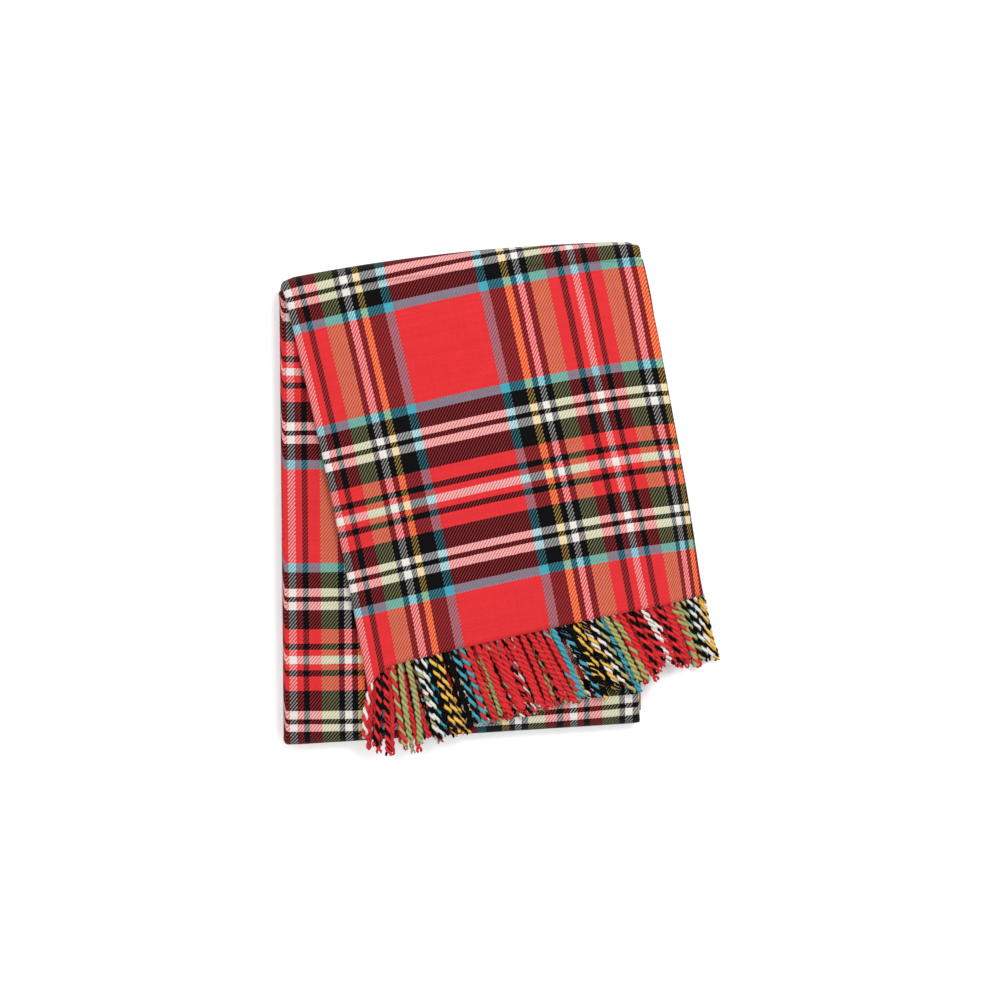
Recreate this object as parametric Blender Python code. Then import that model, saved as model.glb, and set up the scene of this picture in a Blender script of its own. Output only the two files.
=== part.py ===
"""A folded throw blanket with a twisted fringe: one woven panel folded lengthwise into four
layers, then folded like a letter, so that its fringed end lies on top as a flap.

Metres, +Z up. The origin is the middle of the underside. The warp runs along Y: +Y is the
top fold, where the flap turns over, and -Y is the front fold. One run is four cloth layers
thick, and the runs are stacked like this, from below: bottom run, tucked run, upper run, flap.
"""

import math

import bpy
from mathutils import Vector

# The folded panel
WIDTH = 0.343  # across the four layers: a panel 1.372 m wide, folded into quarters
RUN = 0.0092  # height that one run of four layers takes in the stack
GAP = 0.0004  # clearance between two runs that lie on each other
SOLID = RUN - GAP
BASE = SOLID / 2  # height of the bottom run's middle surface
LEFT = -0.1740  # left edge of the bundle, where it crosses y = 0
LEAN = 0.0098  # the bundle's warp leans this far to the left for each metre upwards

# Its four edges, seen from above
TOP_EDGE = (0.2362, 0.1045, 0.277)  # y = a + b x - c x^2, the outside of the top fold
FRONT_EDGE = (-0.2291, 0.0632)  # y = a + b x, the outside of the front fold
TOP_FLAT = 0.002  # flat stretch between the runs and the top fold's half circle
TOP_SLOPE = math.atan(TOP_EDGE[1])
OUTWARD = Vector((-math.sin(TOP_SLOPE), math.cos(TOP_SLOPE), 0))  # away from the bundle
TUCKED_END = 0.085  # the tucked run stops this far short of the front fold

# The flap
FLAP_TURN = math.radians(13.9)  # its warp's direction at the top fold, from -Y towards +X
FLAP_BOW = 0.09  # how much that direction straightens on the way to the hem, per metre
FOLD_ADVANCE = 0.0064  # the cloth moves this far along the fold while it turns over
FLAP_TAPER = 0.018  # its width narrows by this share for each metre away from the fold
FLAP_WAIST = 0.0082  # and by this share more where it is slack, halfway to WAIST_END
WAIST_END = 0.26
HEM = (0.3655, -0.018, -0.020)  # flap length: a + b s + c s^2, s from 0 at the left to 1
CORNER_PULL = 0.016  # the left corner of the hem hangs this much lower
CORNER_REACH = 0.09  # on this share of the width
DROOP_START = 0.013  # past the bundle's right edge, where the flap begins to sink
DROOP_REACH = 0.050  # further on, where it has sunk by DROOP, nearly to the floor
DROOP = 0.0255
SINK_SHORTENS = 0.6 * DROOP**2 / DROOP_REACH  # what that slope takes off the flap's reach

# The fringe
CORDS = 46
CORD_RADIUS = 0.0019
CORD_STEPS = 5
CORD_START = 0.0044  # from the hem to the cord's own end
LOWER_ROWS = 0.0042  # thickness of the three fringe rows under the top one
LOWER_SHORTER = 0.004  # the lower rows' tips lie this far behind the top row's
TUCKED_ROWS = 0.0060  # thickness of the four rows at the tucked end
TUCKED_CORD = 0.078
SPINE = 0.0025  # depth of the strip that joins the cords of one comb
FLOOR_CLEAR = 0.0006
# share of the width, direction from -Y towards +X in degrees, length in metres
FAN = (
    (0.00, -8, 0.053),
    (0.05, 2, 0.082),
    (0.10, 8, 0.086),
    (0.17, 19, 0.082),
    (0.30, 22, 0.078),
    (0.45, 24, 0.074),
    (0.60, 28, 0.074),
    (0.70, 31, 0.078),
    (0.80, 26, 0.069),
    (0.90, 20, 0.064),
    (1.00, 16, 0.062),
)

# The mesh
ACROSS = 16  # stations across the width
TURN_STEPS = 10  # steps round a fold's half circle
FLAP_ROWS = 10

# Colours
RED = (0.78, 0.035, 0.045, 1)
DARK_RED = (0.30, 0.015, 0.02, 1)
CORD_COLOURS = (
    (0.84, 0.80, 0.74, 1),
    (0.78, 0.035, 0.045, 1),
    (0.30, 0.40, 0.12, 1),
    (0.012, 0.012, 0.014, 1),
    (0.90, 0.62, 0.08, 1),
    (0.07, 0.42, 0.58, 1),
)


def clear_scene():
    for thing in list(bpy.data.objects):
        bpy.data.objects.remove(thing, do_unlink=True)


def material(name, colour):
    mat = bpy.data.materials.new(name)
    mat.use_nodes = True
    shader = mat.node_tree.nodes["Principled BSDF"]
    shader.inputs["Base Color"].default_value = colour
    shader.inputs["Roughness"].default_value = 0.95
    shader.inputs["Metallic"].default_value = 0.0
    return mat


def bundle_x(across, y):
    return LEFT + across - LEAN * y


def top_line(across):
    """Where a warp line of the bundle ends at the top fold."""
    a, b, c = TOP_EDGE
    x = bundle_x(across, a)
    reach = 2 * RUN + TOP_FLAT
    y = a + b * x - c * x * x - reach * math.cos(TOP_SLOPE)
    return Vector((bundle_x(across, y), y, 0))


def front_line(across):
    """Where a warp line of the bundle starts to turn round the front fold."""
    a, b = FRONT_EDGE
    y = a + b * bundle_x(across, a) + 1.5 * RUN
    return Vector((bundle_x(across, y), y, 0))


def hem_length(across):
    a, b, c = HEM
    share = across / WIDTH
    corner = max(0, 1 - share / CORNER_REACH)
    return a + b * share + c * share * share + CORNER_PULL * corner**2


def past_edge(x, y):
    """How far a point lies past the bundle's right edge or its front edge."""
    right = x - bundle_x(WIDTH, y)
    a, b = FRONT_EDGE
    front = 0.5 * ((a + b * x) - y)
    return max(0, right, front)


def resting_height(x, y):
    """The height of the surface that the flap and its fringe lie on."""
    share = min(1, max(0, past_edge(x, y) - DROOP_START) / DROOP_REACH)
    return 3 * RUN - GAP - DROOP * share * share * (3 - 2 * share)


def flap_point(across, length, above=0):
    """A point of the flap, this far down from the top fold and above what it rests on."""
    away = Vector((math.sin(FLAP_TURN), -math.cos(FLAP_TURN), 0))
    side = Vector((-math.cos(FLAP_TURN), -math.sin(FLAP_TURN), 0))
    waist = FLAP_WAIST * math.sin(math.pi * min(1, length / WAIST_END)) ** 2
    line = across * (1 - FLAP_TAPER * length - waist) + FOLD_ADVANCE
    place = top_line(line) + away * length + side * FLAP_BOW * length**2
    past = place.x - bundle_x(WIDTH, place.y) - DROOP_START
    sunk = min(1, max(0, past) / (DROOP_REACH + SINK_SHORTENS))
    place.x -= SINK_SHORTENS * sunk**2 * (3 - 2 * sunk)
    place.z = resting_height(place.x, place.y) + above
    return place


def fold_point(centre, radius, outward, height, step, way=1):
    """A point on a half circle that bulges outward, from below to above, or back if way is -1."""
    angle = way * math.pi * (step / TURN_STEPS - 0.5)
    place = centre + outward * (radius * math.cos(angle))
    place.z = height + radius * math.sin(angle)
    return place


def top_fold_point(across, radius, step, way=1):
    centre = top_line(across) + OUTWARD * TOP_FLAT
    return fold_point(centre, radius, OUTWARD, BASE + 1.5 * RUN, step, way)


def sheet(name, columns, colour):
    """A closed slab round a grid of points: columns is a list of equally long point lists."""
    rows = len(columns[0])
    points = [point for column in columns for point in column]
    faces = []
    for i in range(len(columns) - 1):
        for j in range(rows - 1):
            at = i * rows + j
            faces.append((at, at + rows, at + rows + 1, at + 1))
    slab(name, points, faces, SOLID, colour)


def slab(name, points, faces, thickness, colour):
    mesh = bpy.data.meshes.new(name)
    mesh.from_pydata(points, [], faces)
    mesh.materials.append(material(name, colour))
    mesh.shade_smooth()
    thing = bpy.data.objects.new(name, mesh)
    bpy.context.collection.objects.link(thing)
    solid = thing.modifiers.new("Thickness", "SOLIDIFY")
    solid.thickness = thickness
    solid.offset = 0
    solid.use_even_offset = True


def stations():
    return [WIDTH * i / ACROSS for i in range(ACROSS + 1)]


def bundle_column(across):
    """One warp line: bottom run, front fold, upper run, inner fold, tucked run."""
    top = top_line(across)
    front = front_line(across)
    forward = Vector((0, -1, 0))
    steps = range(TURN_STEPS + 1)
    tuck_y = front.y + TUCKED_END
    line = [Vector((top.x, top.y, BASE))]
    line += [fold_point(front, RUN, forward, BASE + RUN, step) for step in steps]
    line += [top_fold_point(across, RUN / 2, step, -1) for step in steps]
    line.append(Vector((bundle_x(across, tuck_y), tuck_y, BASE + RUN)))
    return line


def make_bundle():
    columns = [bundle_column(across) for across in stations()]
    sheet("bundle", columns, RED)


def top_fold_column(across):
    """One warp line on its way round the top fold, from the bottom run to the flap."""
    line = [top_line(across) + OUTWARD * GAP]
    line[0].z = BASE
    for step in range(TURN_STEPS + 1):
        advanced = across + FOLD_ADVANCE * step / TURN_STEPS
        line.append(top_fold_point(advanced, 1.5 * RUN, step))
    line.append(top_line(across + FOLD_ADVANCE) + OUTWARD * GAP)
    line[-1].z = BASE + 3 * RUN
    return line


def make_top_fold():
    columns = [top_fold_column(across) for across in stations()]
    sheet("top_fold", columns, DARK_RED)


def make_flap():
    columns = []
    for across in stations():
        length = hem_length(across)
        rows = [length * j / FLAP_ROWS for j in range(FLAP_ROWS + 1)]
        columns.append([flap_point(across, row, GAP + SOLID / 2) for row in rows])
    sheet("flap", columns, RED)


def fan(share):
    """Direction in radians and length of a fringe cord, between the rows of FAN."""
    for low, high in zip(FAN, FAN[1:]):
        if share <= high[0]:
            part = (share - low[0]) / (high[0] - low[0])
            turn = low[1] + (high[1] - low[1]) * part
            return math.radians(turn), low[2] + (high[2] - low[2]) * part
    return math.radians(FAN[-1][1]), FAN[-1][2]


def cord_point(across, length, above):
    """A point this far along a fringe cord, which lies on what is under it."""
    turn, _ = fan(across / WIDTH)
    root = flap_point(across, hem_length(across))
    place = root + Vector((math.sin(turn), -math.cos(turn), 0)) * length
    place.z = max(resting_height(place.x, place.y), FLOOR_CLEAR) + above
    return place


def make_cord(number):
    across = WIDTH * (number - 0.5) / CORDS
    name = f"fringe_cord_{number:02d}"
    _, length = fan(across / WIDTH)
    above = LOWER_ROWS + 3 * GAP + CORD_RADIUS
    curve = bpy.data.curves.new(name, "CURVE")
    curve.dimensions = "3D"
    curve.bevel_depth = CORD_RADIUS
    curve.bevel_resolution = 2
    curve.use_fill_caps = True
    curve.materials.append(material(name, CORD_COLOURS[number % len(CORD_COLOURS)]))
    spline = curve.splines.new("POLY")
    spline.points.add(CORD_STEPS)
    for step in range(CORD_STEPS + 1):
        reach = CORD_START + (length - CORD_START) * step / CORD_STEPS
        spline.points[step].co = (*cord_point(across, reach, above), 1)
    bpy.context.collection.objects.link(bpy.data.objects.new(name, curve))


def comb(name, tooth, place_of, thickness):
    """A narrow strip with one tooth for each cord. place_of(middle, aside, row) is a point on
    its middle surface; rows 0 and 1 bound the strip, and the others are along the teeth."""
    rows = CORD_STEPS + 2
    points = []
    faces = []
    for i in range(CORDS):
        middle = WIDTH * (i + 0.5) / CORDS
        for side in (-0.5, 0.5):
            points += [place_of(middle, side * tooth, row) for row in range(rows)]
    for i in range(2 * CORDS - 1):
        lengths = rows - 1 if i % 2 == 0 else 1
        for j in range(lengths):
            at = i * rows + j
            faces.append((at, at + rows, at + rows + 1, at + 1))
    slab(name, points, faces, thickness, DARK_RED)


def tooth_reach(row, length):
    """How far from the hem a comb's row lies."""
    if row == 0:
        return CORD_START
    root = CORD_START + SPINE
    return root + (length - root) * (row - 1) / CORD_STEPS


def make_lower_rows():
    """The fringes of the flap's three lower layers, between the bundle and the top row."""
    def place(middle, aside, row):
        turn, length = fan(middle / WIDTH)
        reach = tooth_reach(row, length - LOWER_SHORTER)
        point = cord_point(middle, reach, GAP + LOWER_ROWS / 2)
        return point + Vector((math.cos(turn), math.sin(turn), 0)) * aside

    comb("fringe_lower_rows", 0.0022, place, LOWER_ROWS)


def make_tucked_rows():
    """The fringes of the tucked end, in the space between the bottom and the upper run."""
    def place(middle, aside, row):
        y = front_line(middle).y + TUCKED_END - tooth_reach(row, TUCKED_CORD)
        return Vector((bundle_x(middle, y) + aside, y, BASE + RUN))

    comb("fringe_tucked_rows", 0.0050, place, TUCKED_ROWS)


def main():
    clear_scene()
    make_bundle()
    make_top_fold()
    make_flap()
    make_lower_rows()
    make_tucked_rows()
    for number in range(1, CORDS + 1):
        make_cord(number)


main()
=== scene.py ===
"""The looks of a folded tartan throw: one woven panel in four layers, folded like a letter,
with a twisted fringe. Everything is in metres, +Z up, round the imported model's bodies."""

import math

import bpy
import numpy as np
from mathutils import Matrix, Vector, noise


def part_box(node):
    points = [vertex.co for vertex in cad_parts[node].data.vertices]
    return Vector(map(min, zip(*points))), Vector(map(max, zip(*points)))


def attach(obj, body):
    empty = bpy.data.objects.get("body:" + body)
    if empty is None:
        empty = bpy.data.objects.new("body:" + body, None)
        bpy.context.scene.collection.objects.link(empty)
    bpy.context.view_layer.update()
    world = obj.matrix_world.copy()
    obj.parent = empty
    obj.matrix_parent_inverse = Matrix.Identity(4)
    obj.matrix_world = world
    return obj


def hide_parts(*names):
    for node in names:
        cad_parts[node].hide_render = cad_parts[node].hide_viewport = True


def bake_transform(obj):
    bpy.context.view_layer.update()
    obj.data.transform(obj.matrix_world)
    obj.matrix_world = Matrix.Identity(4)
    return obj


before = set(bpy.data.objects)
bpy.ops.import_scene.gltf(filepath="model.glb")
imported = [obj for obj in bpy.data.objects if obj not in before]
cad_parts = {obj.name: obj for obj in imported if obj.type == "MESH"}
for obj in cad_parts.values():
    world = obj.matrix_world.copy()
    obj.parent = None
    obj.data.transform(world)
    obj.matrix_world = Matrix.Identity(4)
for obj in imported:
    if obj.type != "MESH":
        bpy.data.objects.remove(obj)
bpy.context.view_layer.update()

# ---------------------------------------------------------------- the folded panel
GAP = 0.0004  # clearance between two runs
RUN = (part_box("bundle")[1][2] + GAP) / 3  # one run of four layers
BASE = (RUN - GAP) / 2  # height of the bottom run's middle surface
WIDTH = 0.343  # folded width, a quarter of the panel's
LEFT = -0.1740  # left edge of the bundle, where it crosses y = 0
LEAN = 0.0098  # the bundle's warp leans this far towards -X for each metre along +Y
LAYER = RUN / 4  # one layer's share of a run
CLOTH = 0.00172  # thickness of the cloth
TOP_EDGE = (0.2362, 0.1045, 0.277)  # y = a + b x - c x^2, the outside of the top fold
TOP_SLOPE = math.atan(TOP_EDGE[1])
TOP_FLAT = 0.002  # flat stretch between the runs and the top fold's half circle
OUTWARD = np.array([-math.sin(TOP_SLOPE), math.cos(TOP_SLOPE), 0])  # away from the bundle
FRONT_EDGE = (-0.2291, 0.0632)  # y = a + b x, the outside of the front fold
TUCKED_END = 0.085  # the tucked run stops this far short of the front fold
CORNER = 0.010  # radius of the folds' corners, seen from above

# The flap
FLAP_TURN = math.radians(13.9)  # its warp's direction at the top fold, from -Y towards +X
FLAP_BOW = 0.09  # it bows back to the left by this times the square of the distance
FOLD_ADVANCE = 0.0064  # the cloth moves this far along the fold while it turns over
FLAP_TAPER = 0.018  # its width narrows by this share for each metre away from the fold
FLAP_WAIST = 0.0082  # and by this share more where it is slack, halfway to WAIST_END
WAIST_END = 0.26
HEM = (0.3655, -0.018, -0.020)  # flap length: a + b s + c s^2, s from 0 at the left to 1
CORNER_PULL = 0.016  # the left corner of the hem hangs this much lower
CORNER_REACH = 0.09  # on this share of the width
DROOP_START = 0.013  # past the bundle's right edge, where the flap begins to sink
DROOP_REACH = 0.050  # further on, where it has sunk by DROOP, nearly to the floor
DROOP = 0.0255
SINK_SHORTENS = 0.6 * DROOP**2 / DROOP_REACH  # what that slope takes off the flap's reach

# The fringe
CORDS = 46
CORD_LIE = 0.0066  # height of the top row's middle over what the fringe lies on
FLOOR_CLEAR = 0.0006  # the least height of what it lies on
SETTLES = 0.014  # a cord comes down from its layer to its own height over this length
# Share of the width, direction from -Y towards +X in degrees, length in metres
FAN = (
    (0.00, -8, 0.053),
    (0.05, 2, 0.080),
    (0.10, 8, 0.084),
    (0.17, 19, 0.079),
    (0.30, 22, 0.077),
    (0.45, 24, 0.074),
    (0.60, 28, 0.074),
    (0.70, 31, 0.077),
    (0.74, 29, 0.062),
    (0.80, 26, 0.060),
    (0.90, 20, 0.064),
    (1.00, 14, 0.063),
)
PLY = 0.00156  # radius of one ply
PLIES_APART = 0.006  # a cord's two plies are spun from warp this far apart
CORD_SHIFT = 0.0024  # and their middle lies this far to the right of the cord's own place
TWIST = 0.0128  # length of one full turn of the two plies
FLATTEN = 0.76  # how far a lying cord is pressed flat
ROOT, TIP = 0.008, 0.003  # the plies grow over this first length and thin out over this last
SPLAY = 0.010  # and they draw apart over this last length
ROUGHNESS = 0.06  # spread of a ply's radius from point to point, as a share of it
# The three rows under the top one: layer, height of its cloth in layers over the flap's middle,
# height that its cords lie at, and radius of a ply
LOWER_ROWS = ((2, 0.5, 0.0052, 0.0015), (3, -0.5, 0.0036, 0.0013), (4, -1.5, 0.0020, 0.0012))
LOWER_FLATTEN = 0.62
TUCKED_CORD = 0.075  # length of the cords at the tucked end
TUCKED_PLY = 0.0011
TUCKED_FLATTEN = 0.5
TUCKED_CLOSE = 0.62  # their rows lie this much closer together than the layers of cloth

# ---------------------------------------------------------------- the check
# Colour and width in millimetres of each stripe in half a sett, outwards from the middle of a
# white stripe. The first and the last one are half stripes.
MM = 0.001
WARP = (
    ("white", 3.55), ("red", 6.2), ("black", 6.0), ("red", 11.4), ("green", 17.4),
    ("black", 5.5), ("white", 7.1), ("black", 5.5), ("yellow", 6.9), ("black", 15.2),
    ("blue", 9.0), ("red", 42.3),
)
WEFT = (
    ("white", 3.65), ("red", 5.95), ("black", 5.95), ("red", 13.4), ("black", 19.2),
    ("white", 7.6), ("black", 5.0), ("white", 7.6), ("black", 15.5), ("blue", 9.1),
    ("red", 45.5),
)
YARNS = {
    "white": (0.585, 0.560, 0.525),
    "red": (0.540, 0.023, 0.027),
    "black": (0.0018, 0.0018, 0.0022),
    "green": (0.300, 0.300, 0.115),
    "yellow": (0.650, 0.375, 0.068),
    "blue": (0.045, 0.270, 0.345),
}
SHOW_THROUGH = 0.14  # share of the yarn below that shows between a yarn's fibres
WEFT_COVERS = 0.50  # the fuller weft hides a warp yarn up to this share of its arch
WARP_PITCH = 0.00080
WEFT_PITCH = 0.00098
STRAY = 0.9  # range of the yarns' straying from straight lines, in pitches
FUZZ_SCALE = 1800.0  # scale of the fibres' noise
BUMP = 0.00035  # height of the yarns' relief
INSET = 0.0035  # how far inside the folded edges the layers' own u starts
WARP_MIDDLE = 0.0029 - INSET  # u of the white warp stripe at the flap's left edge
BUNDLE_MIDDLE = 0.0093 - INSET  # and at the bundle's
BUNDLE_DRAW = 1.012  # the bundle's cloth is drawn in across by this much
FLAP_DRAW = 0.0058  # the right part of the flap's cloth is drawn in by this much at the hem
DRAWN_FROM, DRAWN_OVER = 0.79, 0.17  # from this share of the width on, growing over this share
WEFT_MIDDLE = 0.1452  # a white weft stripe lies this far from the hem
WEFT_DRIFT = 0.006  # the weft bends this much towards the hem at the flap's right edge
STRANDS = 5  # strands in one ply of the fringe
STRAND_TURN = 0.021  # length of one turn of the strands in a ply
STRAND_SPREAD = 0.0018  # width of the warp that they come from
UPPER_MIDDLE = -0.1570  # y of a white weft stripe on the upper run, at its left edge
UPPER_BOW = 0.145  # the upper run's weft rises by this times the square of the distance


def half_sett(stripes):
    return sum(width for _, width in stripes) * MM


# ---------------------------------------------------------------- the fold, as formulas
def stack(*parts):
    return np.stack(np.broadcast_arrays(*parts), axis=-1)


def bundle_x(across, y):
    return LEFT + across - LEAN * y


def corner(across, radius=CORNER):
    """Share of a fold's reach that is left near the sides, where its corners are rounded."""
    side = np.minimum(across, WIDTH - across)
    short = np.clip(1 - side / radius, 0, 1)
    return 1 - (1 - np.sqrt(1 - 0.98 * short**2)) * radius / (2 * RUN)


def top_line(across):
    a, b, c = TOP_EDGE
    x = bundle_x(across, a)
    y = a + b * x - c * x * x - (2 * RUN + TOP_FLAT) * math.cos(TOP_SLOPE)
    return stack(bundle_x(across, y), y, 0.0)


def front_line(across):
    a, b = FRONT_EDGE
    y = a + b * bundle_x(across, a) + 1.5 * RUN
    return stack(bundle_x(across, y), y, 0.0)


def hem_length(across):
    a, b, c = HEM
    share = across / WIDTH
    pull = np.maximum(0, 1 - np.maximum(share, 0) / CORNER_REACH)
    return a + b * share + c * share * share + CORNER_PULL * pull**2


def past_edge(x, y):
    a, b = FRONT_EDGE
    right = x - bundle_x(WIDTH, y)
    front = 0.5 * ((a + b * x) - y)
    return np.maximum(0, np.maximum(right, front))


def resting_height(x, y):
    share = np.clip((past_edge(x, y) - DROOP_START) / DROOP_REACH, 0, 1)
    return 3 * RUN - GAP - DROOP * share * share * (3 - 2 * share)


def flap_point(across, length):
    """A point of the flap's middle surface, this far down from the top fold."""
    x = math.sin(FLAP_TURN) * length - math.cos(FLAP_TURN) * FLAP_BOW * length**2
    y = -math.cos(FLAP_TURN) * length - math.sin(FLAP_TURN) * FLAP_BOW * length**2
    waist = FLAP_WAIST * np.sin(math.pi * np.clip(length / WAIST_END, 0, 1)) ** 2
    line = across * (1 - FLAP_TAPER * length - waist) + FOLD_ADVANCE
    place = top_line(line) + stack(x, y, 0.0)
    past = place[..., 0] - bundle_x(WIDTH, place[..., 1]) - DROOP_START
    sunk = np.clip(past / (DROOP_REACH + SINK_SHORTENS), 0, 1)
    place[..., 0] -= SINK_SHORTENS * sunk**2 * (3 - 2 * sunk)
    place[..., 2] = resting_height(place[..., 0], place[..., 1]) + RUN / 2
    return place


def turn(centre, radius, outward, height, angle, squeeze=1.0):
    """A point of a half circle that bulges outward, from below (-90 degrees) to above."""
    out = centre + outward * (radius * np.cos(angle) * squeeze)[..., None]
    out[..., 2] = height + radius * np.sin(angle)
    return out


def along(count):
    return np.linspace(0, 1, count)


def hem_row(across):
    """The hem's own v: 0, less what the left corner is pulled down, plus the weft's drift."""
    a, b, c = HEM
    share = across / WIDTH
    drift = WEFT_DRIFT * np.clip(share, 0, 1.05) ** 6
    return a + b * share + c * share * share - hem_length(across) + drift


def drawn_in(across, down):
    """How far the flap's warp is bunched towards the left, from the fold (0) to the hem (1)."""
    share = np.clip((across / WIDTH - DRAWN_FROM) / DRAWN_OVER, 0, 1.25)
    return FLAP_DRAW * share * (0.5 + 0.5 * down)


# The middle surface's lengths round the folds: top, front, and the inner one at the top
TOP_ARC = 2 * TOP_FLAT + 1.5 * RUN * math.pi
FRONT_ARC = RUN * math.pi
INNER_ARC = 2 * TOP_FLAT + 0.5 * RUN * math.pi


# Each stretch gives (points, pattern v) on across x steps; steps run from the hem inwards.
def flap_stretch(across, steps):
    length = hem_length(across)
    return flap_point(across, length * (1 - steps)), hem_row(across) + length * steps


def top_stretch(across, steps):
    """From the flap round the top fold to the bottom run."""
    flat = TOP_FLAT / TOP_ARC
    angle = np.clip((steps - flat) / (1 - 2 * flat), 0, 1)
    lead = np.minimum(np.minimum(steps, 1 - steps) / flat, 1) * TOP_FLAT
    centre = top_line(across + FOLD_ADVANCE * (1 - steps)) + OUTWARD * lead[..., None]
    points = turn(
        centre, 1.5 * RUN, OUTWARD, BASE + 1.5 * RUN, (0.5 - angle) * math.pi, corner(across)
    )
    return points, fold_row(across) + steps * TOP_ARC


def fold_row(across):
    """v where the flap ends at the top fold."""
    return hem_row(across) + hem_length(across)


def upper_v(across, y):
    """v on the upper run, less what its top layer gains by going round two folds."""
    start = UPPER_START - 2 * math.pi * 1.5 * LAYER
    return start + (y - UPPER_MIDDLE) - UPPER_BOW * np.maximum(across, 0) ** 2


def bottom_stretch(across, steps):
    top, front = top_line(across), front_line(across)
    y = top[..., 1] + (front[..., 1] - top[..., 1]) * steps
    first = fold_row(across) + TOP_ARC
    last = upper_v(across, front[..., 1]) - FRONT_ARC
    return stack(bundle_x(across, y), y, BASE), first + (last - first) * steps


def front_stretch(across, steps):
    front = front_line(across)
    angle = (steps - 0.5) * math.pi
    forward = np.array([0, -1.0, 0])
    points = turn(front, RUN, forward, BASE + RUN, angle, corner(across, 0.6 * CORNER))
    return points, upper_v(across, front[..., 1]) - FRONT_ARC * (1 - steps)


def upper_stretch(across, steps):
    top, front = top_line(across), front_line(across)
    y = front[..., 1] + (top[..., 1] - front[..., 1]) * steps
    return stack(bundle_x(across, y), y, BASE + 2 * RUN), upper_v(across, y)


def inner_stretch(across, steps):
    flat = TOP_FLAT / INNER_ARC
    angle = np.clip((steps - flat) / (1 - 2 * flat), 0, 1)
    lead = np.minimum(np.minimum(steps, 1 - steps) / flat, 1) * TOP_FLAT
    top = top_line(across)
    centre = top + OUTWARD * lead[..., None]
    points = turn(
        centre, 0.5 * RUN, OUTWARD, BASE + 1.5 * RUN, (0.5 - angle) * math.pi, corner(across)
    )
    return points, upper_v(across, top[..., 1]) + steps * INNER_ARC


def tucked_stretch(across, steps):
    top, front = top_line(across), front_line(across)
    reach = top[..., 1] - front[..., 1] - TUCKED_END
    y = top[..., 1] - reach * steps
    v = upper_v(across, top[..., 1]) + INNER_ARC + reach * steps
    return stack(bundle_x(across, y), y, BASE + RUN), v


def nearest_sett():
    """The pattern's place on the upper run: the whole sett that strains the cloth least."""
    sett = 2 * half_sett(WEFT)
    reach = top_line(0.0)[..., 1] - front_line(0.0)[..., 1]
    to_front = HEM[0] + TOP_ARC + reach + FRONT_ARC + 2 * math.pi * 1.5 * LAYER
    wanted = to_front + UPPER_MIDDLE - front_line(0.0)[..., 1]
    return WEFT_MIDDLE + sett * round((wanted - WEFT_MIDDLE) / sett)


UPPER_START = float(nearest_sett())


# ---------------------------------------------------------------- the cloth's mesh
def layer_path():
    """The panel's cross-section in the folded slab, from the hidden selvedge to the other:
    across, height in layers over the slab's middle, and the panel's own u. Counted from the
    visible layer's left edge, u grows to the right."""
    flat_steps, turn_steps = 44, 10
    path = []

    def run(start, end, level, u):
        for step in range(flat_steps + 1):
            across = start + (end - start) * step / flat_steps
            path.append((across, level, u(across)))

    def half_turn(centre, middle, radius, side, downwards, first, last):
        """Round one fold, radius in layers. Side 1 bulges to the right, -1 to the left;
        downwards 1 goes from the upper level to the lower, -1 back up."""
        for step in range(1, turn_steps):
            angle = downwards * math.pi * (0.5 - step / turn_steps)
            out = radius * LAYER * math.cos(angle) * side
            u = first + (last - first) * step / turn_steps
            path.append((centre + out, middle + radius * math.sin(angle), u))

    left, right = INSET, WIDTH - INSET
    quarter = right - left
    outer = 1.5 * LAYER * math.pi
    inner = 0.5 * LAYER * math.pi
    # layer 4, the lowest, from its selvedge at the right to the left, and up to the top
    run(right + INSET, left, -1.5, lambda x: -outer - (x - left))
    half_turn(left, 0.0, 1.5, -1, -1, -outer, 0.0)
    # layer 1, the top one, then layer 2 back under it
    run(left, right, 1.5, lambda x: x - left)
    half_turn(right, 1.0, 0.5, 1, 1, quarter, quarter + inner)
    run(right, left, 0.5, lambda x: quarter + inner + (right - x))
    # layer 3, to the selvedge inside the right edge
    half_turn(left, 0.0, 0.5, -1, 1, 2 * quarter + inner, 2 * quarter + 2 * inner)
    run(left, right + 0.6 * INSET, -0.5, lambda x: 2 * (quarter + inner) + (x - left))
    return np.array(path)


PATH = layer_path()


def ripple(points, seed):
    """The slow waves of cloth that has been folded and patted flat."""
    waves = [noise.noise(Vector((x * 17, y * 11, seed))) for x, y, _ in points.reshape(-1, 3)]
    return np.array(waves).reshape(points.shape[:-1])


def cloth_grid(stretch, rows, turned=(0.0, 0.0), drawn=1.0):
    """The four layers over one stretch: points, the panel's own (u, v) at each, and the slab's
    middle surface. The outer layers go a longer way round the folds; turned is how many half
    turns lie before the stretch's start and end."""
    across, level, u = PATH.T
    steps = along(rows + 1)[None, :]
    across = across[:, None] + 0 * steps
    steps = steps + 0 * across
    near_across, near_steps = 1e-4, 0.003  # distances over which the surface's slopes are taken
    middle, v = stretch(across, steps)
    wide = stretch(across + near_across, steps)[0] - stretch(across - near_across, steps)[0]
    low, high = np.clip(steps - near_steps, 0, 1), np.clip(steps + near_steps, 0, 1)
    long = stretch(across, high)[0] - stretch(across, low)[0]
    normal = np.cross(wide, long)
    normal /= np.linalg.norm(normal, axis=-1, keepdims=True)
    points = middle + normal * (level * LAYER)[:, None, None]
    half_turns = turned[0] + (turned[1] - turned[0]) * steps
    v = v + math.pi * half_turns * (level * LAYER)[:, None]
    return points, stack(u[:, None] * drawn + 0 * steps, v, 0.0), middle


def joined(grids):
    """Stretches that follow each other, without the row they share."""
    points = np.concatenate([g[0][:, (1 if n else 0):] for n, g in enumerate(grids)], axis=1)
    weave = np.concatenate([g[1][:, (1 if n else 0):] for n, g in enumerate(grids)], axis=1)
    return points, weave


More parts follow.
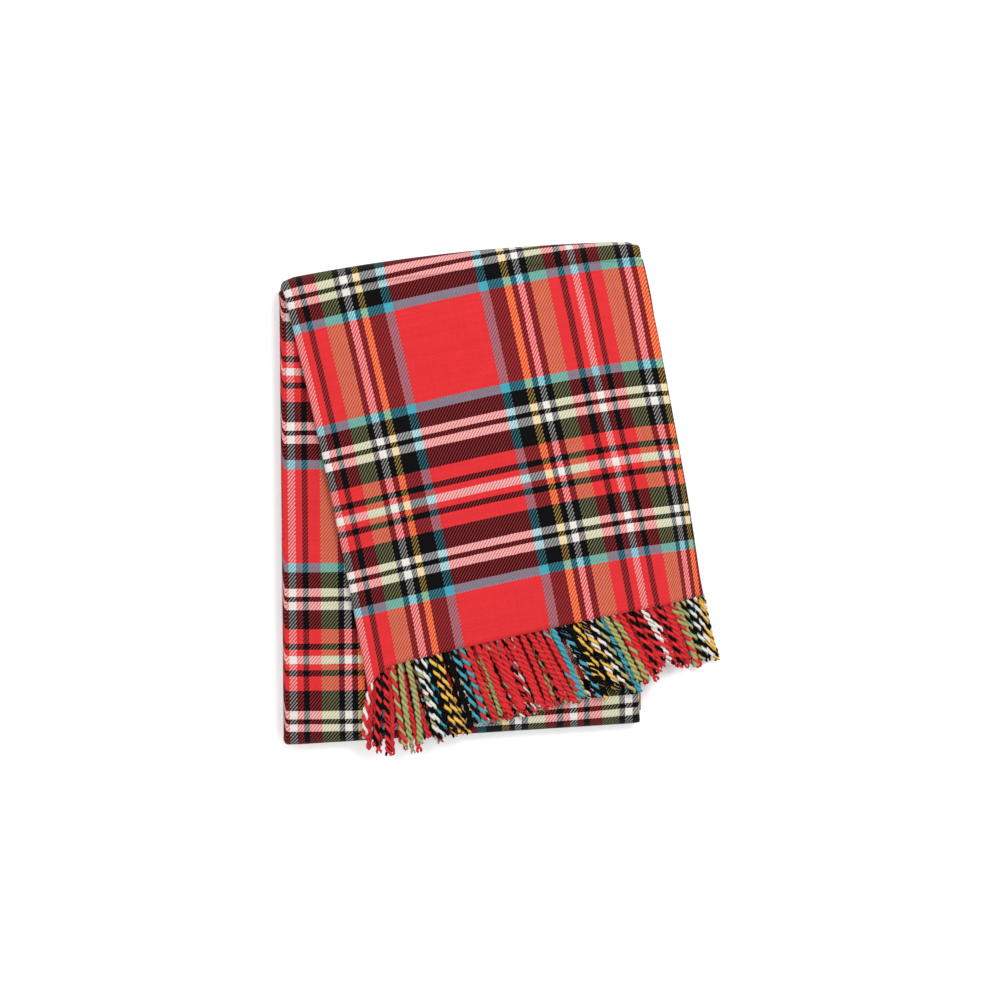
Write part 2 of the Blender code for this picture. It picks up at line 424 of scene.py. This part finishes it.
def grid_faces(columns, rows, start=0):
    i, j = np.meshgrid(np.arange(columns - 1), np.arange(rows - 1), indexing="ij")
    at = start + (i * rows + j).ravel()
    return np.stack([at, at + rows, at + rows + 1, at + 1], axis=1).tolist()


def new_mesh(name, points, faces, material):
    mesh = bpy.data.meshes.new(name)
    mesh.from_pydata(points.reshape(-1, 3).tolist(), [], faces)
    mesh.materials.append(material)
    mesh.shade_smooth()
    thing = bpy.data.objects.new(name, mesh)
    bpy.context.collection.objects.link(thing)
    return thing


def make_cloth(name, grids, material):
    points, weave = joined(grids)
    columns, rows = points.shape[:2]
    thing = new_mesh(name, points, grid_faces(columns, rows), material)
    weave_data = thing.data.attributes.new("weave", "FLOAT_VECTOR", "POINT")
    weave_data.data.foreach_set("vector", weave.reshape(-1).astype(np.float32))
    solid = thing.modifiers.new("Thickness", "SOLIDIFY")
    solid.thickness = CLOTH
    solid.offset = 0
    return thing


# ---------------------------------------------------------------- the fringe's mesh
rng = np.random.default_rng(11)


def fan(share):
    """Direction in radians and length of a cord, between the rows of FAN."""
    shares, turns, lengths = np.array(FAN).T
    return math.radians(np.interp(share, shares, turns)), float(np.interp(share, shares, lengths))


def rope(line, u, ply, flatten, sides):
    """Two plies twisted round each other along a line of points. Returns points, faces, the
    ply's u, and (turn share, length) for each face corner."""
    phase, twist = rng.uniform(0, 2 * math.pi), TWIST * rng.uniform(0.88, 1.15)
    ahead = np.gradient(line, axis=0)
    step = np.linalg.norm(ahead, axis=1)
    forward = ahead / step[:, None]
    length = np.concatenate([[0], np.cumsum(np.linalg.norm(np.diff(line, axis=0), axis=1))])
    side = np.cross(forward, [0, 0, 1.0])
    side /= np.linalg.norm(side, axis=1)[:, None]
    up = np.cross(side, forward)
    left = length[-1] - length
    grown = np.clip(length / ROOT, 0, 1)
    thick = ply * (0.55 + 0.45 * grown**0.7)
    thick *= 0.70 + 0.30 * np.clip(left / TIP, 0, 1) ** 0.5
    thick *= 1 + 0.10 * np.sin(length / rng.uniform(0.004, 0.009) + phase)
    apart = ply * (0.5 + 0.5 * grown)
    apart *= 1 + 0.45 * np.clip(1 - left / SPLAY, 0, 1)
    slant = 2 * math.pi / twist
    points, faces, us, corners = [], [], [], []
    for number in (0, 1):
        angle = phase + number * math.pi + slant * length
        radial = stack(np.cos(angle), np.sin(angle), 0.0)
        centre = radial * apart[:, None]
        travel = stack(-np.sin(angle) * slant * apart, np.cos(angle) * slant * apart, 1.0)
        travel /= np.linalg.norm(travel, axis=1)[:, None]
        around = np.cross(travel, radial)
        turns = np.arange(sides) / sides * 2 * math.pi
        rough = (thick[:, None] * rng.normal(1, ROUGHNESS, (len(line), sides)))[..., None]
        ring = (
            centre[:, None]
            + rough * np.cos(turns)[None, :, None] * radial[:, None]
            + rough * np.sin(turns)[None, :, None] * around[:, None]
        )
        place = (
            line[:, None]
            + ring[..., 0:1] * side[:, None]
            + flatten * ring[..., 1:2] * up[:, None]
            + ring[..., 2:3] * forward[:, None]
        )
        start = number * len(line) * sides
        points.append(place.reshape(-1, 3))
        us += [u + (number - 0.5) * PLIES_APART] * (len(line) * sides)
        for n in range(len(line) - 1):
            for k in range(sides):
                a, b = start + n * sides + k, start + n * sides + (k + 1) % sides
                faces.append((a, b, b + sides, a + sides))
                corners += [
                    (k / sides, length[n]), ((k + 1) / sides, length[n]),
                    ((k + 1) / sides, length[n + 1]), (k / sides, length[n + 1]),
                ]
        last = start + (len(line) - 1) * sides
        for end, end_length, order in ((start, length[0], -1), (last, length[-1], 1)):
            faces.append(tuple(end + k for k in range(sides))[::order])
            corners += [(k / sides, end_length) for k in range(sides)]
    return np.concatenate(points), faces, us, corners


def make_ropes(name, ropes, material):
    """One object from several ropes."""
    points, faces, us, corners = [], [], [], []
    count = 0
    for own_points, own_faces, own_us, own_corners in ropes:
        points.append(own_points)
        faces += [tuple(count + k for k in face) for face in own_faces]
        us += own_us
        corners += own_corners
        count += len(own_points)
    thing = new_mesh(name, np.concatenate(points), faces, material)
    own = thing.data.attributes.new("yarn_u", "FLOAT", "POINT")
    own.data.foreach_set("value", np.array(us, np.float32))
    strand = thing.data.uv_layers.new(name="strand")
    strand.data.foreach_set("uv", np.array(corners, np.float32).ravel())
    return thing


def fringe_line(across, length, turn, high, start, spacing, wobble):
    """Points along one lying cord, from inside the hem to the tip. high is its height over the
    flap's middle surface at its start, and over what it lies on further out."""
    root = flap_point(across, hem_length(across))
    count = max(4, int((length - start) / spacing))
    reach = start + (length - start) * along(count + 1)
    bend = wobble * np.sin(reach / length * math.pi * 0.9)
    x = root[0] + math.sin(turn) * reach + math.cos(turn) * bend
    y = root[1] - math.cos(turn) * reach + math.sin(turn) * bend
    under = np.maximum(resting_height(x, y), FLOOR_CLEAR)
    first = RUN / 2 + high[0]
    rise = first + (high[1] - first) * np.clip((reach - start) / SETTLES, 0, 1)
    return stack(x, y, under + rise)


# ---------------------------------------------------------------- materials
class Graph:
    """Short names for adding nodes to one material. Most return the new node's output."""

    def __init__(self, name):
        self.material = bpy.data.materials.new(name)
        self.material.use_nodes = True
        self.nodes = self.material.node_tree.nodes
        self.links = self.material.node_tree.links
        self.shader = self.nodes["Principled BSDF"]

    def put(self, socket, value):
        if isinstance(value, bpy.types.NodeSocket):
            self.links.new(value, socket)
        elif value is not None:
            socket.default_value = value

    def math(self, operation, a, b=None, c=None):
        node = self.nodes.new("ShaderNodeMath")
        node.operation = operation
        for socket, value in zip(node.inputs, (a, b, c)):
            self.put(socket, value)
        return node.outputs[0]

    def mix(self, blend, factor, a, b):
        node = self.nodes.new("ShaderNodeMix")
        node.data_type = "RGBA"
        node.blend_type = blend
        self.put(node.inputs[0], factor)
        self.put(node.inputs[6], a)
        self.put(node.inputs[7], b)
        return node.outputs[2]

    def gamma(self, colour, power):
        node = self.nodes.new("ShaderNodeGamma")
        self.put(node.inputs[0], colour)
        node.inputs[1].default_value = power
        return node.outputs[0]

    def choose(self, factor, a, b):
        """a where factor is 0, b where it is 1."""
        node = self.nodes.new("ShaderNodeMix")
        self.put(node.inputs[0], factor)
        self.put(node.inputs[2], a)
        self.put(node.inputs[3], b)
        return node.outputs[0]

    def noise(self, vector, scale, detail=2.0):
        node = self.nodes.new("ShaderNodeTexNoise")
        self.put(node.inputs["Vector"], vector)
        node.inputs["Scale"].default_value = scale
        node.inputs["Detail"].default_value = detail
        return node.outputs["Fac"]

    def vector(self, x, y, z=0.0):
        node = self.nodes.new("ShaderNodeCombineXYZ")
        for socket, value in zip(node.inputs, (x, y, z)):
            self.put(socket, value)
        return node.outputs[0]

    def random(self, number, seed):
        node = self.nodes.new("ShaderNodeTexWhiteNoise")
        node.noise_dimensions = "2D"
        self.put(node.inputs["Vector"], self.vector(number, seed))
        return node.outputs["Value"]

    def attribute(self, name, output):
        node = self.nodes.new("ShaderNodeAttribute")
        node.attribute_name = name
        return node.outputs[output]

    def yarn_place(self, number, pitch, middle):
        """Where a yarn's middle lies, from the middle of a white stripe."""
        place = self.math("MULTIPLY", self.math("ADD", number, 0.5), pitch)
        return self.math("SUBTRACT", place, middle)

    def stripes(self, place, stripes):
        """The colour at a place in metres from the middle of a white stripe."""
        half = half_sett(stripes)
        folded = self.math("PINGPONG", place, half)
        ramp = self.nodes.new("ShaderNodeValToRGB")
        ramp.color_ramp.interpolation = "CONSTANT"
        self.put(ramp.inputs[0], self.math("DIVIDE", folded, half))
        edge = 0.0
        for n, (colour, width) in enumerate(stripes):
            elements = ramp.color_ramp.elements
            if n == 0:
                elements.remove(elements[1])
                element = elements[0]
                element.position = 0.0
            else:
                element = elements.new(edge / half)
            element.color = (*YARNS[colour], 1)
            edge += width * MM
        return ramp.outputs[0]

    def wool(self, colour, height):
        """Dull wool of this colour, with this relief."""
        bump = self.nodes.new("ShaderNodeBump")
        bump.inputs["Strength"].default_value = 1.0
        bump.inputs["Distance"].default_value = BUMP
        self.put(bump.inputs["Height"], height)
        self.put(self.shader.inputs["Base Color"], colour)
        self.put(self.shader.inputs["Normal"], bump.outputs[0])
        self.shader.inputs["Roughness"].default_value = 0.95
        self.shader.inputs["Specular IOR Level"].default_value = 0.06
        self.shader.inputs["Sheen Weight"].default_value = 0.03
        self.shader.inputs["Sheen Roughness"].default_value = 0.5
        return self.material


def cloth_material(warp_middle):
    """A wool check in 2/2 twill. warp_middle is the u of a white warp stripe's middle."""
    g = Graph("wool_check")
    split = g.nodes.new("ShaderNodeSeparateXYZ")
    g.put(split.inputs[0], g.attribute("weave", "Vector"))
    u, v = split.outputs[0], split.outputs[1]
    position = g.nodes.new("ShaderNodeNewGeometry").outputs["Position"]
    stray = g.math("MULTIPLY", g.math("SUBTRACT", g.noise(position, 90.0), 0.5), STRAY)
    a = g.math("ADD", g.math("DIVIDE", u, WARP_PITCH), stray)
    b = g.math("ADD", g.math("DIVIDE", v, WEFT_PITCH), stray)
    i, j = g.math("FLOOR", a), g.math("FLOOR", b)
    warp = g.stripes(g.yarn_place(i, WARP_PITCH, warp_middle), WARP)
    weft = g.stripes(g.yarn_place(j, WEFT_PITCH, WEFT_MIDDLE), WEFT)

    # Which yarn is on top, and how high it stands
    step = g.math("FLOORED_MODULO", g.math("SUBTRACT", i, j), 4.0)
    warp_float = g.math("FRACT", g.math("DIVIDE", g.math("SUBTRACT", i, b), 4.0))
    arch = g.math("SINE", g.math("MULTIPLY", warp_float, 2 * math.pi))
    warp_up = g.math(
        "MULTIPLY", g.math("COMPARE", step, 1.5, 0.75), g.math("GREATER_THAN", arch, WEFT_COVERS)
    )
    weft_place = g.math("ADD", g.math("SUBTRACT", a, j), 1.0)
    weft_float = g.math("FRACT", g.math("DIVIDE", weft_place, 4.0))

    def yarn_height(across, along_float):
        centred = g.math("SUBTRACT", g.math("MULTIPLY", g.math("FRACT", across), 2.0), 1.0)
        round_top = g.math("SUBTRACT", 1.0, g.math("MULTIPLY", centred, centred))
        arch = g.math("SINE", g.math("MULTIPLY", along_float, 2 * math.pi))
        return g.math("MULTIPLY", g.math("ADD", round_top, g.math("MAXIMUM", arch, 0.0)), 0.5)

    height = g.choose(warp_up, yarn_height(b, weft_float), yarn_height(a, warp_float))
    fuzz = g.noise(position, FUZZ_SCALE, 3.0)
    height = g.math("ADD", height, g.math("MULTIPLY", fuzz, 0.5))

    # Colour, with the small differences between yarns, slow mottling, and painted shade: darker
    # where the yarns' relief is low, between the yarns
    top, under = g.mix("MIX", warp_up, weft, warp), g.mix("MIX", warp_up, warp, weft)
    colour = g.mix("MULTIPLY", 1.0, g.gamma(top, 1 - SHOW_THROUGH), g.gamma(under, SHOW_THROUGH))
    yarn = g.choose(warp_up, g.random(j, 3.0), g.random(i, 7.0))
    mottle = g.noise(position, 55.0)
    # painted shade: the colour darkens where the relief is low, in the grooves between yarns
    painted_shade_and_tone = g.math("ADD", 0.72, g.math("MULTIPLY", g.math("MINIMUM", height, 1.0), 0.34))
    painted_shade_and_tone = g.math("MULTIPLY", painted_shade_and_tone, g.math("ADD", 0.94, g.math("MULTIPLY", yarn, 0.12)))
    painted_shade_and_tone = g.math("MULTIPLY", painted_shade_and_tone, g.math("ADD", 0.94, g.math("MULTIPLY", mottle, 0.12)))
    colour = g.mix("MULTIPLY", 1.0, colour, g.vector(painted_shade_and_tone, painted_shade_and_tone, painted_shade_and_tone))
    return g.wool(colour, height)


def fringe_material(warp_middle):
    """Twisted warp ends: each ply is spun from strands of its own few warp yarns."""
    g = Graph("wool_fringe")
    split = g.nodes.new("ShaderNodeSeparateXYZ")
    strand = g.nodes.new("ShaderNodeUVMap")
    strand.uv_map = "strand"
    g.put(split.inputs[0], strand.outputs[0])
    turn, length = split.outputs[0], split.outputs[1]
    position = g.nodes.new("ShaderNodeNewGeometry").outputs["Position"]
    # the strands run round the ply against the twist of the plies
    winding = g.math("ADD", turn, g.math("DIVIDE", length, STRAND_TURN))
    fold = g.math("PINGPONG", winding, 0.5)
    spread = g.math("MULTIPLY", g.math("SUBTRACT", fold, 0.25), 2 * STRAND_SPREAD)
    u = g.math("ADD", g.attribute("yarn_u", "Fac"), spread)
    i = g.math("FLOOR", g.math("DIVIDE", u, WARP_PITCH))
    colour = g.stripes(g.yarn_place(i, WARP_PITCH, warp_middle), WARP)
    ridge = g.math("SINE", g.math("MULTIPLY", winding, 2 * math.pi * STRANDS))
    ridge = g.math("ADD", 0.5, g.math("MULTIPLY", ridge, 0.5))
    fuzz = g.noise(position, FUZZ_SCALE, 3.0)
    height = g.math("ADD", g.math("MULTIPLY", ridge, 0.6), g.math("MULTIPLY", fuzz, 0.7))
    # painted shade: darker in the grooves between the strands and where the fibre noise is low
    painted_shade_and_tone = g.math("ADD", 0.80, g.math("MULTIPLY", height, 0.22))
    colour = g.mix("MULTIPLY", 1.0, colour, g.vector(painted_shade_and_tone, painted_shade_and_tone, painted_shade_and_tone))
    return g.wool(colour, height)


def floor_material():
    g = Graph("studio_floor")
    position = g.nodes.new("ShaderNodeNewGeometry").outputs["Position"]
    grain = g.noise(position, 400.0)
    level = g.math("ADD", 0.96, g.math("MULTIPLY", grain, 0.02))
    g.put(g.shader.inputs["Base Color"], g.vector(level, level, level))
    g.shader.inputs["Roughness"].default_value = 0.9
    g.shader.inputs["Specular IOR Level"].default_value = 0.1
    return g.material


# ---------------------------------------------------------------- the pieces
def lifted(grid, height, seed):
    """The same stretch with slow waves, mostly upwards, that die out at its ends."""
    points, weave, middle = grid
    steps = np.linspace(0, 1, points.shape[1])
    inward = np.clip(np.minimum(steps, 1 - steps) / 0.06, 0, 1)
    points = points.copy()
    points[..., 2] += height * (0.5 + ripple(middle, seed)) * inward
    return points, weave, middle


FLAP_ROWS = 72
WAVES = 0.0009  # height of the flap's slow waves
flap_grid = lifted(cloth_grid(flap_stretch, FLAP_ROWS), WAVES, 3.0)
flap_grid[1][..., 0] += drawn_in(PATH[:, :1], 1 - along(FLAP_ROWS + 1)[None, :])
fold_grid = cloth_grid(top_stretch, 26, turned=(0, 1))
fold_grid[1][..., 0] += drawn_in(PATH[:, :1], 0.0)
bundle_grids = [
    cloth_grid(bottom_stretch, 44, (1, 1), BUNDLE_DRAW),
    cloth_grid(front_stretch, 18, (1, 2), BUNDLE_DRAW),
    cloth_grid(upper_stretch, 60, (2, 2), BUNDLE_DRAW),
    cloth_grid(inner_stretch, 12, (2, 3), BUNDLE_DRAW),
    cloth_grid(tucked_stretch, 40, (3, 3), BUNDLE_DRAW),
]

flap_wool = cloth_material(WARP_MIDDLE)
bundle_wool = cloth_material(BUNDLE_MIDDLE)
flap_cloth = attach(make_cloth("flap_cloth", [flap_grid], flap_wool), "flap")
fold_cloth = make_cloth("top_fold_cloth", [fold_grid], flap_wool)
bundle_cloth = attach(make_cloth("bundle_cloth", bundle_grids, bundle_wool), "bundle")
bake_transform(fold_cloth)
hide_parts("flap")
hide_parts("top_fold")
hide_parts("bundle")

fringe_wool = fringe_material(WARP_MIDDLE)


def make_top_cords():
    cords = []
    for number in range(1, CORDS + 1):
        across = WIDTH * (number - 0.5) / CORDS
        turn, length = fan(across / WIDTH)
        length += rng.uniform(-0.008, 0.005)
        turn += rng.uniform(-0.075, 0.075)
        lie = CORD_LIE + rng.uniform(0.0003, 0.0012)
        line = fringe_line(
            across, length, turn, high=(1.35 * LAYER, lie), start=-0.0015, spacing=0.0011,
            wobble=rng.uniform(-0.003, 0.003),
        )
        one = rope(line, across - INSET + CORD_SHIFT, PLY, FLATTEN, sides=10)
        cord = make_ropes(f"twisted_cord_{number:02d}", [one], fringe_wool)
        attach(cord, "flap")
        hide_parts(f"fringe_cord_{number:02d}")
        cords.append(cord)
    return cords


def make_lower_cords():
    """Three more rows, one for each layer under the top one."""
    rows = []
    for layer, level, lie, ply in LOWER_ROWS:
        ropes = []
        for number in range(1, CORDS + 1):
            across = WIDTH * (number - 0.5 + rng.uniform(-0.4, 0.4)) / CORDS
            turn, length = fan(across / WIDTH)
            length += rng.uniform(-0.009, 0.004)
            turn += rng.uniform(-0.09, 0.09)
            # the panel's own u goes to and fro from layer to layer
            own = across if layer == 3 else -across
            own += 2 * WIDTH if layer != 4 else 0
            line = fringe_line(
                across, length, turn, high=(level * LAYER, lie), start=-0.001, spacing=0.0018,
                wobble=rng.uniform(-0.003, 0.003),
            )
            ropes.append(rope(line, own, ply, LOWER_FLATTEN, sides=8))
        row = make_ropes(f"lower_cords_layer_{layer}", ropes, fringe_wool)
        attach(row, "flap")
        rows.append(row)
    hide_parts("fringe_lower_rows")
    return rows


def make_tucked_cords():
    ropes = []
    for level in (-1.5, -0.5, 0.5, 1.5):
        for number in range(1, CORDS + 1):
            across = WIDTH * (number - 0.5 + rng.uniform(-0.2, 0.2)) / CORDS
            front = front_line(across)
            reach = -0.001 + TUCKED_CORD * along(26)
            y = front[1] + TUCKED_END - reach
            height = BASE + RUN + level * TUCKED_CLOSE * LAYER
            line = stack(bundle_x(across, y) + rng.uniform(-0.001, 0.001), y, height)
            ropes.append(rope(line, across, TUCKED_PLY, TUCKED_FLATTEN, sides=6))
    row = make_ropes("tucked_cords", ropes, fringe_wool)
    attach(row, "bundle")
    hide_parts("fringe_tucked_rows")
    return row


top_cords = make_top_cords()
lower_cords = make_lower_cords()
tucked_cords = make_tucked_cords()


def mean_length(grid):
    """The panel's length over one stretch, halfway across."""
    v = grid[1][..., 1]
    return float(abs(v[:, -1] - v[:, 0]).mean())


sum(mean_length(g) for g in bundle_grids)


# ---------------------------------------------------------------- the studio
def make_floor():
    bpy.ops.mesh.primitive_plane_add(size=30, location=(0, 0, 0))
    floor = bpy.context.object
    floor.name = "studio_floor"
    floor.data.materials.append(floor_material())


def make_light(name, place, size, power):
    """A round soft light that shines at the origin."""
    data = bpy.data.lights.new(name, "AREA")
    data.shape = "DISK"
    data.size = size
    data.energy = power
    light = bpy.data.objects.new(name, data)
    light.location = place
    light.rotation_euler = (-Vector(place)).to_track_quat("-Z", "Y").to_euler()
    bpy.context.collection.objects.link(light)


def make_camera(middle, view_width):
    """Straight above this place, seeing this width at the height of the bundle's top."""
    data = bpy.data.cameras.new("main_camera")
    data.lens, data.sensor_width = 100, 36
    camera = bpy.data.objects.new("main_camera", data)
    distance = view_width * data.lens / data.sensor_width
    camera.location = (*middle, 3 * RUN + distance)
    bpy.context.collection.objects.link(camera)
    bpy.context.scene.camera = camera


def make_world(strength):
    world = bpy.data.worlds.new("studio")
    world.use_nodes = True
    world.node_tree.nodes["Background"].inputs[0].default_value = (1, 1, 1, 1)
    world.node_tree.nodes["Background"].inputs[1].default_value = strength
    bpy.context.scene.world = world


make_floor()
make_light("key", (0.75, 0.85, 1.7), size=1.0, power=28)
make_light("fill", (-1.2, -0.8, 1.9), size=1.8, power=11.5)
make_world(strength=1.0)
make_camera(middle=(0.0355, -0.003), view_width=0.96)
bpy.context.scene.view_settings.view_transform = "Standard"
